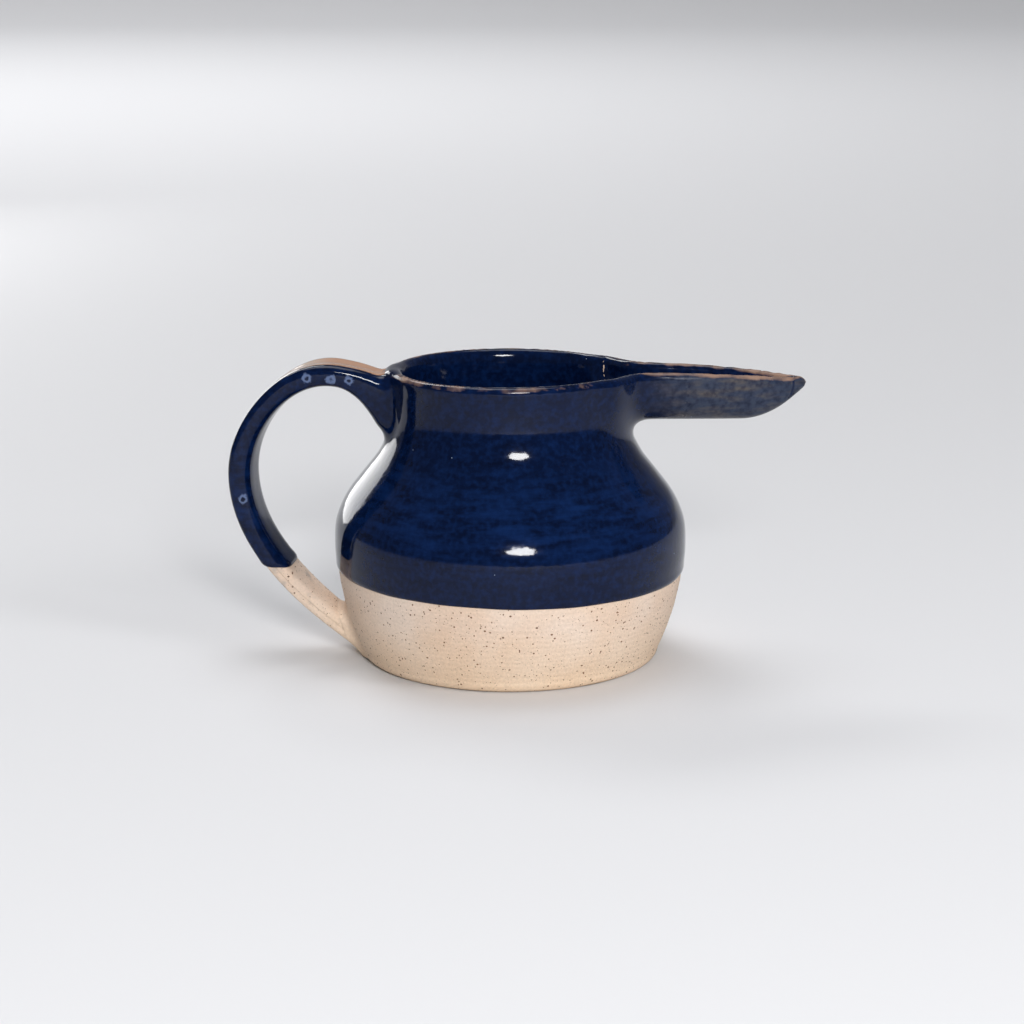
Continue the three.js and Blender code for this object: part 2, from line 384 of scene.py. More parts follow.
def spoutField(p):
    low, high = (spoutRoot - 6, -36, 62), (spout["reach"] + 8, 36, 130)

    def capped(q):
        trough = fromShape(lambda s: troughShape(s, 0.0), q)
        return softMax(softMax(trough, q[:, 0] - spout["reach"], 1.0), spoutRoot - q[:, 0], 1.0)

    return within(p, low, high, capped)


def channelField(p):
    low, high = (-20, -34, 66), (spout["reach"] + 2, 34, 140)

    def hollow(q):
        wallHere = spout["wall"] + (spout["wallAtBeak"] - spout["wall"]) * alongSpout(q[:, 0])
        shape = lambda s: troughShape(s, wallHere)
        end = q[:, 0] - spout["reach"] + spout["end"]
        return softMax(fromShape(shape, q), end, 2.0)

    return within(p, low, high, hollow)


def hollowField(p):
    belowFloor = vessel["floorThickness"] - p[:, 2]
    return softMax(radialField(p, insideRadius), belowFloor, vessel["floorCorner"] * 1.1)


def strapLine():
    # the strap's middle line in the plane of the handle, as (x, z), with the length run at each point
    v, s = vessel, strap
    neckHeight = v["rimHeight"] - s["neckJoinDrop"]
    neck = np.array((-np.interp(neckHeight, wall[:, 1], wall[:, 0]), neckHeight))
    arch = np.array((-v["neckRadius"] - s["archOut"], v["rimHeight"] - s["archFall"]))
    side = np.array((strapLow[0] + s["thickness"] / 2, s["sideHeight"]))
    foot = np.array((-np.interp(s["footJoin"], wall[:, 1], wall[:, 0]), s["footJoin"]))
    out, rise = neck[0] - arch[0], arch[1] - neck[1]
    over, fall = arch[0] - side[0], arch[1] - side[1]
    back, drop = foot[0] - side[0], side[1] - foot[1]
    leaving = neck + (-s["leaving"][0] * out, s["leaving"][1] * rise)
    landing = foot + (-s["landing"][0] * back, s["landing"][1] * drop)
    (before, after), (above, below) = s["overArch"], s["downSide"]
    runOn = lambda join, nxt, length: join + (join - nxt) / np.linalg.norm(join - nxt) * length
    bend = runOn(foot, landing, s["footRunOn"])
    t = np.linspace(0, 1, 60)
    stretches = [
        cubic(neck, leaving, arch + (before * out, 0), arch, t),
        cubic(arch, arch - (after * over, 0), side + (0, above * fall), side, t),
        cubic(side, side - (0, below * drop), landing, foot, t),
        quadratic(foot, bend, bend + (s["footRunOn"], 0), t),
    ]
    start = [runOn(neck, leaving, s["rootRunOn"])]
    points = np.vstack([start, stretches[0]] + [stretch[1:] for stretch in stretches[1:]])
    lengths = np.concatenate([[0], np.cumsum(np.linalg.norm(np.diff(points, axis=0), axis=1))])
    even = np.linspace(0, lengths[-1], 180)
    return np.stack([np.interp(even, lengths, points[:, k]) for k in (0, 1)], axis=1), even


def smoothed(values, reach):
    kernel = np.hanning(2 * reach + 3)[1:-1]
    kernel /= kernel.sum()
    padded = np.concatenate([np.repeat(values[:1], reach, 0), values, np.repeat(values[-1:], reach, 0)])
    return np.stack([np.convolve(column, kernel, "valid") for column in padded.T], 1)


strapPath, strapLengths = strapLine()
strapPath = smoothed(strapPath, 3)
strapTangents = np.gradient(strapPath, axis=0)
strapTangents /= np.linalg.norm(strapTangents, axis=1)[:, None]


def twistShift(p):
    # sideways lean of the strap's section, which grows from the arch to the outer side
    grow = np.clip((-p[:, 0] - strap["twistFrom"]) / strap["twistOver"], 0, 1)
    return strap["twist"] * p[:, 1] * grow * grow * (3 - 2 * grow)


def strapHalfThickness(s):
    nearRoot = np.clip(1 - (s - strap["rootRunOn"]) / strap["rootFade"], 0, 1)
    return (strap["thickness"] + (strap["rootDepth"] - strap["thickness"]) * nearRoot**1.5) / 2


def strapCoordinates(p):
    # along the strap, and out from its middle line
    flat = np.column_stack([p[:, 0] - twistShift(p), p[:, 2]])
    along = np.empty(len(p))
    out = np.empty(len(p))
    batch = 40000  # points at a time, to spare memory
    for start in range(0, len(p), batch):
        some = slice(start, start + batch)
        near = np.argmin(((flat[some, None, :] - strapPath[None, :, :]) ** 2).sum(2), axis=1)
        tangent = strapTangents[near]
        offset = flat[some] - strapPath[near]
        along[some] = strapLengths[near] + (offset * tangent).sum(1)
        out[some] = tangent[:, 1] * offset[:, 0] - tangent[:, 0] * offset[:, 1]
    return along, out


def strapShape(p):
    along, out = strapCoordinates(p)
    groove = strap["groove"] * np.exp(-((p[:, 1] / strap["grooveWidth"]) ** 2)) * (out > 0)
    n = strap["squareness"]
    across = np.abs(p[:, 1]) / (strap["width"] / 2)
    through = (np.abs(out) + groove) / strapHalfThickness(along)
    return (across**n + through**n) ** (1 / n) - 1


def strapField(p):
    room = 8
    low = (strapLow[0] - room, -strap["width"] / 2 - room, -6)
    high = (-vessel["neckRadius"] + room, strap["width"] / 2 + room, strapHigh[2] + room)
    return within(p, low, high, lambda q: fromShape(strapShape, q, 0.55))


def vesselField(p):
    return radialField(p, outsideRadius)


def bodyField(p):
    # the fused clay: vessel and spout less their hollow, cut at the lip, with the strap on the wall
    outside = softMin(vesselField(p), spoutField(p), joins["spout"])
    hollow = softMin(hollowField(p), channelField(p), joins["mouth"])
    shell = softMax(np.maximum(outside, -hollow), p[:, 2] - spoutLip(p[:, 0]), joins["lip"])
    outsideOnly = np.maximum(strapField(p), -vesselField(p) - strap["tuck"])
    return softMin(shell, outsideOnly, joins["strap"]) - handWobble(p)


# meshing a field

def netSurface(field, low, high, step):
    # one vertex in each cell that the surface crosses, which is then moved on to the surface; a coarse pass
    # finds the blocks of cells that the surface can't reach
    block = 4
    counts = [math.ceil((b - a) / (step * block)) for a, b in zip(low, high)]
    middles = [a + step * (block * np.arange(n) + (block - 1) / 2) for a, n in zip(low, counts)]
    coarse = field(np.stack(np.meshgrid(*middles, indexing="ij"), -1).reshape(-1, 3)).reshape(counts)
    values = coarse.repeat(block, 0).repeat(block, 1).repeat(block, 2)
    near = np.argwhere(np.abs(values) < 6.5 * step)
    values[tuple(near.T)] = field(near * step + np.array(low))

    inside = values < 0
    cells = [n - 1 for n in values.shape]
    sums = np.zeros(cells + [3])
    crossings = np.zeros(cells, int)
    for axis in range(3):
        sides = [k for k in range(3) if k != axis]
        for a in (0, 1):
            for b in (0, 1):
                start = [0, 0, 0]
                start[sides[0]], start[sides[1]] = a, b
                end = list(start)
                end[axis] = 1
                first, second = (tuple(slice(o, o + n) for o, n in zip(d, cells)) for d in (start, end))
                crossed = inside[first] != inside[second]
                gap = np.where(crossed, values[first] - values[second], 1)
                share = np.where(crossed, values[first] / gap, 0)
                for k in range(3):
                    sums[..., k] += np.where(crossed, share if k == axis else start[k], 0)
                crossings += crossed
    used = crossings > 0
    index = np.full(cells, -1)
    index[used] = np.arange(used.sum())
    vertices = (np.argwhere(used) + sums[used] / crossings[used][:, None]) * step + np.array(low)

    faces = []
    for axis in range(3):
        u, w = (axis + 1) % 3, (axis + 2) % 3
        first = [slice(1, -1)] * 3
        second = [slice(1, -1)] * 3
        first[axis], second[axis] = slice(0, -1), slice(1, None)
        outward = inside[tuple(first)]
        crossed = np.argwhere(outward != inside[tuple(second)])
        outward = outward[tuple(crossed.T)]
        corners = []
        for du, dw in ((0, 0), (1, 0), (1, 1), (0, 1)):
            cell = crossed.copy()
            cell[:, u] += du
            cell[:, w] += dw
            corners.append(index[tuple(cell.T)])
        quads = np.stack(corners, 1)
        quads[~outward] = quads[~outward][:, ::-1]
        faces.append(quads)
    faces = np.vstack(faces)
    faces = faces[(faces >= 0).all(1)]
    for turn in range(4):
        vertices = pulledOn(field, vertices, step)
    return vertices, faces.tolist()


def fieldSlope(field, p, reach=0.15):
    return np.stack([(field(p + d) - field(p - d)) / (2 * reach) for d in np.eye(3) * reach], 1)


def pulledOn(field, p, step):
    slope = fieldSlope(field, p)
    move = field(p)[:, None] * slope / np.maximum((slope**2).sum(1), 0.04)[:, None]
    length = np.linalg.norm(move, axis=1)[:, None]
    return p - move * np.minimum(1, 0.5 * step / np.maximum(length, 1e-9))


def roundness(p, reach=1.5):
    # how strongly the surface bulges: large on an outside edge, below nought in a hollow
    middle = bodyField(p)
    return sum(bodyField(p + d) + bodyField(p - d) - 2 * middle for d in np.eye(3) * reach) / reach**2


def netPiece(name, field, low, high, step, material):
    points, faces = netSurface(field, low, high, step)
    return tidyMesh(newMesh(name, points, [], faces, material))


# materials

clay = {
    "body": 0xD8BDA6,
    "warm": 0xE6CCAE,  # towards the foot
    "pale": 0xDECBBB,
    "iron": 0x6B4630,
    "smudge": 0x9A948F,
    "sand": 0.7,  # mm, the size of a grain
    "cloud": 24.0,
    "rings": 1.7,  # mm between throwing lines
    "grit": 2.6,  # mm between the finest iron spots
    "warmTop": 22.0,  # height where the warmer foot starts
    "strapEdge": (56.0, 62.0), # mm out from the axis, where the strap's grey smudges start
    "patch": 5.0,
    "roughness": 0.88,
}
glaze = {
    "deep": 0x03091E,
    "cobalt": 0x04112E,
    "bright": 0x0C244F,
    "broken": 0x9B7C68,  # where it runs thin over an edge and the clay shows
    "thin": 0x2E3648,  # the thin coat down the outside of the spout
    "thinWarm": 0x5C5348,
    # the next two colours are a painted warm reflection along the top of the strap's arch: tan over the arch,
    # pale further out
    "reflectionTan": 0xB0876C,
    "reflectionPale": 0xD2C4B8,
    "fleck": 0x8FA0BC,
    "blister": 0x7F93BE,
    "streak": 11.0,  # mm, the size of the cloudy streaks
    "mottle": 1.7,
    "orangePeel": 2.4,
    "ragged": 6.5,  # mm, the size of the breaks along an edge
    "flecks": 8.0,
    "pooling": (34.0, 50.0, 56.0, 70.0),  # heights between which the thicker glaze is brighter
    "reflectionFade": (54.0, 70.0),  # mm out from the axis, where the painted reflection along the strap's top turns from tan to pale
    "ringRadius": 2.3,  # mm, less half the mottle's waviness
    "ringWaviness": 2.4,
    "ringWidth": (0.6, 0.2),  # mm, the outside of its soft edge and the inside
    "thickness": 0.5,
    "roughness": 0.07,
    "ior": 1.5,
    "specular": 0.21,
    # pale rings where bubbles broke: share of the way along the strap, and mm off its middle
    "blisters": ((0.165, 0.0), (0.205, -0.8), (0.25, 0.4), (0.56, -0.3)),
}


def perMm(size):
    # a pattern's scale for features of this size in millimetres
    return 1 / (size * mm)


multiply = {"operation": "MULTIPLY"}
multiplyAdd = {"operation": "MULTIPLY_ADD"}  # the first input times the second, plus the third
lessThan = {"operation": "LESS_THAN"}
mixColour = {"data_type": "RGBA"}


def bareStoneware():
    # buff stoneware, thrown and fired without glaze: matt and sandy, warmer at the foot, with iron spots
    material, tree = newMaterial("bareStoneware")
    place = addNode(tree, "ShaderNodeTexCoord").outputs["Object"]
    parts = addNode(tree, "ShaderNodeSeparateXYZ", Vector=place).outputs
    cloud = addNode(tree, "ShaderNodeTexNoise", Vector=place, Scale=perMm(clay["cloud"]), Detail=3.0)
    sand = addNode(tree, "ShaderNodeTexNoise", Vector=place, Scale=perMm(clay["sand"]), Detail=3.0)
    tone = addNode(tree, "ShaderNodeMapRange", Value=cloud, From_Min=0.35, From_Max=0.68)
    low = addNode(tree, "ShaderNodeMapRange", Value=parts[2], From_Min=clay["warmTop"] * mm, From_Max=0.0)
    warmth = addNode(tree, "ShaderNodeMath", multiply, i0=low, i1=0.75)
    grain = addNode(tree, "ShaderNodeMapRange", Value=sand, From_Min=0.3, From_Max=0.75, To_Min=0.9,
                    To_Max=1.06)
    grit = addNode(tree, "ShaderNodeTexVoronoi", Vector=place, Scale=perMm(clay["grit"]))
    chance = addNode(tree, "ShaderNodeSeparateColor", Color=grit.outputs["Color"])
    size = addNode(tree, "ShaderNodeMapRange", Value=chance, From_Min=0.4, From_Max=1.0, To_Max=0.13)
    spot = addNode(tree, "ShaderNodeMath", lessThan, i0=grit.outputs["Distance"], i1=size)
    spotted = addNode(tree, "ShaderNodeMath", multiply, i0=spot, i1=0.8)
    start, end = clay["strapEdge"]
    onStrap = addNode(tree, "ShaderNodeMapRange", Value=parts[0], From_Min=-start * mm, From_Max=-end * mm)
    patch = addNode(tree, "ShaderNodeTexNoise", Vector=place, Scale=perMm(clay["patch"]), Detail=2.0)
    grey = addNode(tree, "ShaderNodeMapRange", Value=patch, From_Min=0.56, From_Max=0.72, To_Max=0.6)
    smudge = addNode(tree, "ShaderNodeMath", multiply, i0=grey, i1=onStrap)
    layers = (
        (tone, toLinear(clay["pale"]), "MIX"),
        (warmth, toLinear(clay["warm"]), "MIX"),
        (1.0, grain, "MULTIPLY"),
        (spotted, toLinear(clay["iron"]), "MIX"),
        (smudge, toLinear(clay["smudge"]), "MIX"),
    )
    colour = toLinear(clay["body"])
    for share, over, blend in layers:
        colour = addNode(tree, "ShaderNodeMix", mixColour | {"blend_type": blend}, i0=share, i6=colour,
                         i7=over).outputs[2]
    rings = addNode(tree, "ShaderNodeTexWave", {"bands_direction": "Z"}, Vector=place,
                    Scale=2 * math.pi / 20 * perMm(clay["rings"]), Distortion=2.5, Detail=2.0)
    relief = addNode(tree, "ShaderNodeMath", multiplyAdd, i0=rings, i1=0.35, i2=sand)
    bump = addNode(tree, "ShaderNodeBump", Strength=0.75, Distance=0.16 * mm, Height=relief)
    gloss = addNode(tree, "ShaderNodeMapRange", Value=sand, To_Min=clay["roughness"] - 0.1,
                    To_Max=clay["roughness"] + 0.08)
    shader = addNode(tree, "ShaderNodeBsdfPrincipled", Base_Color=colour, Roughness=gloss, IOR=1.5,
                     Specular_IOR_Level=0.3, Normal=bump)
    addNode(tree, "ShaderNodeOutputMaterial", Surface=shader)
    return material


def cobaltGlaze():
    # glossy cobalt glaze, dipped: deep blue with cloudy streaks, thin and tan where it breaks over an edge
    material, tree = newMaterial("cobaltGlaze")
    place = addNode(tree, "ShaderNodeTexCoord").outputs["Object"]
    parts = addNode(tree, "ShaderNodeSeparateXYZ", Vector=place).outputs
    edge, thin, band = (
        addNode(tree, "ShaderNodeAttribute", {"attribute_name": name}).outputs["Fac"]
        for name in ("edge", "thin", "band")
    )
    colours = {name: toLinear(value) for name, value in glaze.items() if type(value) is int}

    # cloudy streaks, brighter where the glaze pooled over the belly
    flat = addNode(tree, "ShaderNodeMapping", Vector=place, Scale=(1, 1, 5))
    streak = addNode(tree, "ShaderNodeTexNoise", Vector=flat, Scale=perMm(glaze["streak"]), Detail=4.0)
    mottle = addNode(tree, "ShaderNodeTexNoise", Vector=place, Scale=perMm(glaze["mottle"]), Detail=3.0)
    cloud = addNode(tree, "ShaderNodeMapRange", Value=streak, From_Min=0.25, From_Max=0.6, To_Min=0.25)
    a, b, c, d = (height * mm for height in glaze["pooling"])
    rising = addNode(tree, "ShaderNodeMapRange", Value=parts[2], From_Min=a, From_Max=b)
    falling = addNode(tree, "ShaderNodeMapRange", Value=parts[2], From_Min=d, From_Max=c)
    brightStreak = addNode(tree, "ShaderNodeMapRange", Value=streak, From_Min=0.42, From_Max=0.7,
                           To_Max=0.7)
    onBelly = addNode(tree, "ShaderNodeMath", multiply, i0=rising, i1=falling)
    pooled = addNode(tree, "ShaderNodeMath", multiply, i0=onBelly, i1=brightStreak)
    haze = addNode(tree, "ShaderNodeMapRange", Value=mottle, From_Min=0.42, From_Max=0.75, To_Max=0.5)

    # the thin coat down the outside of the spout
    thinPatch = addNode(tree, "ShaderNodeMapRange", Value=mottle, From_Min=0.32, From_Max=0.62, To_Min=0.35)
    warmPatch = addNode(tree, "ShaderNodeMapRange", Value=streak, From_Min=0.46, From_Max=0.74, To_Max=0.75)
    thinColour = addNode(tree, "ShaderNodeMix", mixColour, i0=warmPatch, i6=colours["thin"],
                         i7=colours["thinWarm"]).outputs[2]
    thinly = addNode(tree, "ShaderNodeMath", multiply, i0=thin, i1=thinPatch)

    # ragged breaks along the rim, and a painted warm reflection along the top of the strap's arch
    smooth = addNode(tree, "ShaderNodeTexNoise", Vector=place, Scale=perMm(glaze["ragged"]), Detail=3.0)
    ragged = addNode(tree, "ShaderNodeMath", multiplyAdd, i0=smooth, i1=0.9, i2=edge)
    breaking = addNode(tree, "ShaderNodeMapRange", Value=ragged, From_Min=1.26, From_Max=1.52, To_Max=0.75)
    # painted reflection: a warm band down the middle of the strap's outer face over the arch, tan near the
    # neck and pale further out
    reflectionMottled = addNode(tree, "ShaderNodeMath", multiplyAdd, i0=mottle, i1=0.25, i2=band)
    reflectionShare = addNode(tree, "ShaderNodeMapRange", Value=reflectionMottled, From_Min=0.45, From_Max=0.7)
    start, end = glaze["reflectionFade"]
    outward = addNode(tree, "ShaderNodeMapRange", Value=parts[0], From_Min=-start * mm, From_Max=-end * mm)
    reflectionColour = addNode(tree, "ShaderNodeMix", mixColour, i0=outward, i6=colours["reflectionTan"],
                         i7=colours["reflectionPale"]).outputs[2]

    fleck = addNode(tree, "ShaderNodeTexVoronoi", Vector=place, Scale=perMm(glaze["flecks"]))
    flecked = addNode(tree, "ShaderNodeMath", lessThan, i0=fleck.outputs["Distance"], i1=0.02)

    # a wavy ring for each broken bubble
    ringed = 0.0
    outer, inner = glaze["ringWidth"]
    for along, off in glaze["blisters"]:
        x, z = strapPath[int(along * len(strapPath))]
        centre = (x * mm, -strap["width"] / 2 * mm, (z + off) * mm)
        away = addNode(tree, "ShaderNodeVectorMath", {"operation": "DISTANCE"}, i0=place, i1=centre)
        wavy = addNode(tree, "ShaderNodeMath", multiplyAdd, i0=mottle, i1=glaze["ringWaviness"] * mm,
                       i2=away.outputs["Value"])
        fromRing = addNode(tree, "ShaderNodeMath", {"operation": "SUBTRACT"}, i0=wavy,
                           i1=glaze["ringRadius"] * mm)
        near = addNode(tree, "ShaderNodeMath", {"operation": "ABSOLUTE"}, i0=fromRing)
        ring = addNode(tree, "ShaderNodeMapRange", Value=near, From_Min=outer * mm, From_Max=inner * mm)
        ringed = addNode(tree, "ShaderNodeMath", {"operation": "MAXIMUM"}, i0=ringed, i1=ring)
    blistered = addNode(tree, "ShaderNodeMath", multiply, i0=ringed, i1=0.42)

    layers = (
        (cloud, colours["cobalt"]),
        (pooled, colours["bright"]),
        (haze, colours["bright"]),
        (thinly, thinColour),
        (breaking, colours["broken"]),
        (reflectionShare, reflectionColour),
        (flecked, colours["fleck"]),
        (blistered, colours["blister"]),
    )
    body = colours["deep"]
    for share, over in layers:
        body = addNode(tree, "ShaderNodeMix", mixColour, i0=share, i6=body, i7=over).outputs[2]

    matt = addNode(tree, "ShaderNodeMath", multiplyAdd, i0=mottle, i1=0.08, i2=glaze["roughness"] - 0.03)
    thinMatt = addNode(tree, "ShaderNodeMath", multiplyAdd, i0=thin, i1=0.22, i2=matt)
    rough = addNode(tree, "ShaderNodeMath", multiplyAdd, i0=breaking, i1=0.3, i2=thinMatt)
    peel = addNode(tree, "ShaderNodeTexNoise", Vector=place, Scale=perMm(glaze["orangePeel"]), Detail=2.0)
    relief = addNode(tree, "ShaderNodeMath", multiplyAdd, i0=ringed, i1=0.8, i2=peel)
    bump = addNode(tree, "ShaderNodeBump", Strength=0.35, Distance=0.08 * mm, Height=relief)
    shader = addNode(tree, "ShaderNodeBsdfPrincipled", Base_Color=body, Roughness=rough, IOR=glaze["ior"],
                     Specular_IOR_Level=glaze["specular"], Normal=bump)
    addNode(tree, "ShaderNodeOutputMaterial", Surface=shader)
    return material


def ironSpot():
    # iron grains that melted to a dark, half-glossy spot in the firing
    material, tree = newMaterial("ironSpot")
    place = addNode(tree, "ShaderNodeTexCoord").outputs["Object"]
    tone = addNode(tree, "ShaderNodeTexNoise", Vector=place, Scale=perMm(6.0), Detail=2.0)
    colour = addNode(tree, "ShaderNodeMix", mixColour, i0=tone, i6=toLinear(spots["dark"]),
                     i7=toLinear(spots["brown"])).outputs[2]
    fine = addNode(tree, "ShaderNodeTexNoise", Vector=place, Scale=perMm(0.2))
    rough = addNode(tree, "ShaderNodeMapRange", Value=fine, To_Min=0.4, To_Max=0.75)
    bump = addNode(tree, "ShaderNodeBump", Strength=0.4, Distance=0.04 * mm, Height=fine)
    shader = addNode(tree, "ShaderNodeBsdfPrincipled", Base_Color=colour, Roughness=rough, Normal=bump)
    addNode(tree, "ShaderNodeOutputMaterial", Surface=shader)
    return material


spots = {
    "dark": 0x3E2414,
    "brown": 0x8A6040,
    "perSquareMm": 0.3,
    "smallest": 0.2,
    "largest": 0.7,
    "underneath": 0.35,  # share of them on the underside
    "seed": 7,
}
stoneware = bareStoneware()
cobalt = cobaltGlaze()
iron = ironSpot()
report("materials")


# the thrown vessel: a profile turned round the axis

def turningTree():
    tree, given = newTree("turnedOnTheWheel", {"Segments": "Int", "Rows": "Int", "Material": "Material"})
    profile = addNode(tree, "GeometryNodeMeshToCurve", Mesh=given["Geometry"])
    around = addNode(tree, "ShaderNodeMath", {"operation": "ADD"}, i0=given["Segments"], i1=1.0)
    sheet = addNode(tree, "GeometryNodeMeshGrid", Size_X=1.0, Size_Y=1.0, Vertices_X=around,
                    Vertices_Y=given["Rows"])
    spot = addNode(tree, "ShaderNodeSeparateXYZ", Vector=addNode(tree, "GeometryNodeInputPosition"))
    angle = addNode(tree, "ShaderNodeMath", multiply, i0=spot, i1=2 * math.pi)
    share = addNode(tree, "ShaderNodeMath", {"operation": "ADD"}, i0=spot.outputs[1], i1=0.5)
    sample = addNode(tree, "GeometryNodeSampleCurve", {"mode": "FACTOR", "use_all_curves": True},
                     Curves=profile, Factor=share)
    section = addNode(tree, "ShaderNodeSeparateXYZ", Vector=sample.outputs["Position"])
    turned = addNode(tree, "ShaderNodeCombineXYZ", Z=section.outputs[2])
    for axis, wave in ((0, "COSINE"), (1, "SINE")):
        swing = addNode(tree, "ShaderNodeMath", {"operation": wave}, i0=angle)
        reach = addNode(tree, "ShaderNodeMath", multiply, i0=swing, i1=section)
        tree.links.new(reach.outputs[0], turned.inputs[axis])
    shaped = addNode(tree, "GeometryNodeSetPosition", Geometry=sheet, Position=turned)
    merged = addNode(tree, "GeometryNodeMergeByDistance", Geometry=shaped, Distance=0.004 * mm)
    endTree(tree, merged, given["Material"])
    return tree


wheel = turningTree()


def turned(name, profile, rows, material, segments=168):
    points = [(r, 0, z) for r, z in profile]
    edges = [(i, i + 1) for i in range(len(points) - 1)]
    piece = newMesh(name, points, edges, [])
    grown(piece, wheel, {"Segments": segments, "Rows": rows, "Material": material})
    return tidyMesh(piece)


def hollowCurve(offset, top, rays=90):
    # the inside of the hollow in the plane of the axis, found along rays from a point above its floor
    start = vessel["bellyHeight"]
    turn = np.linspace(-math.pi / 2, math.radians(62), rays)
    aim = np.stack([np.cos(turn), np.zeros(rays), np.sin(turn)], 1)
    reach = np.full(rays, 10.0)
    for step in range(120):
        p = aim * reach[:, None] + (0, 0, start)
        reach -= 0.6 * (hollowField(p) + offset)
    curve = np.stack([p[:, 0], p[:, 2]], 1)
    return [tuple(point) for point in curve[curve[:, 1] < top]]


def wobbled(piece):
    points = pointsOf(piece)
    lift = handWobble(points) * np.clip(points[:, 2] / 5, 0, 1)  # the foot stays flat
    setPoints(piece, points + normalsOf(piece) * lift[:, None])
    return piece


def buildVessel():
    v = vessel
    underside = np.linspace(0, v["footRadius"] - 1.5, 60)
    lines = v["turningLine"] / 2 * (1 - np.cos(underside * 2 * math.pi / v["turningStep"]))
    profile = list(zip(underside, lines * (underside < v["footRadius"] - 6)))
    for a in np.linspace(-math.pi / 2, 0, 14):
        profile.append((v["footRadius"] + v["footEdge"] * math.cos(a), v["footEdge"] * (1 + math.sin(a))))
    outerHeights = np.linspace(v["footEdge"], v["rimHeight"] - v["lipCentre"] + 0.1, 200)
    profile += [(outsideRadius(z), z) for z in outerHeights[1:]]
    crown = v["neckRadius"] + v["lipFlare"] - v["wallAtRim"] / 2
    for a in np.linspace(0.2, math.pi - 0.2, 9):
        height = v["rimHeight"] - v["lipCentre"] + v["lipRound"] * math.sin(a)
        profile.append((crown + v["lipRound"] * math.cos(a), height))
    profile += hollowCurve(0.0, v["rimHeight"] - v["lipCentre"] - 0.1)[::-1]
    piece = turned("thrownVessel", profile, 300, stoneware)
    notch = lambda p: channelField(p) - spout["notch"]
    points, faces = netSurface(notch, (-24, -32, 68), (72, 32, 104), 1.6)
    cutBy(piece, newMesh("mouthCutter", points, [], faces))
    tidyMesh(piece)
    wobbled(piece)
    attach(piece, "root")
    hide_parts("thrown_vessel")
    return piece


vesselPiece = buildVessel()
report("vessel")


# the pulled strap: a flattened section swept along its path

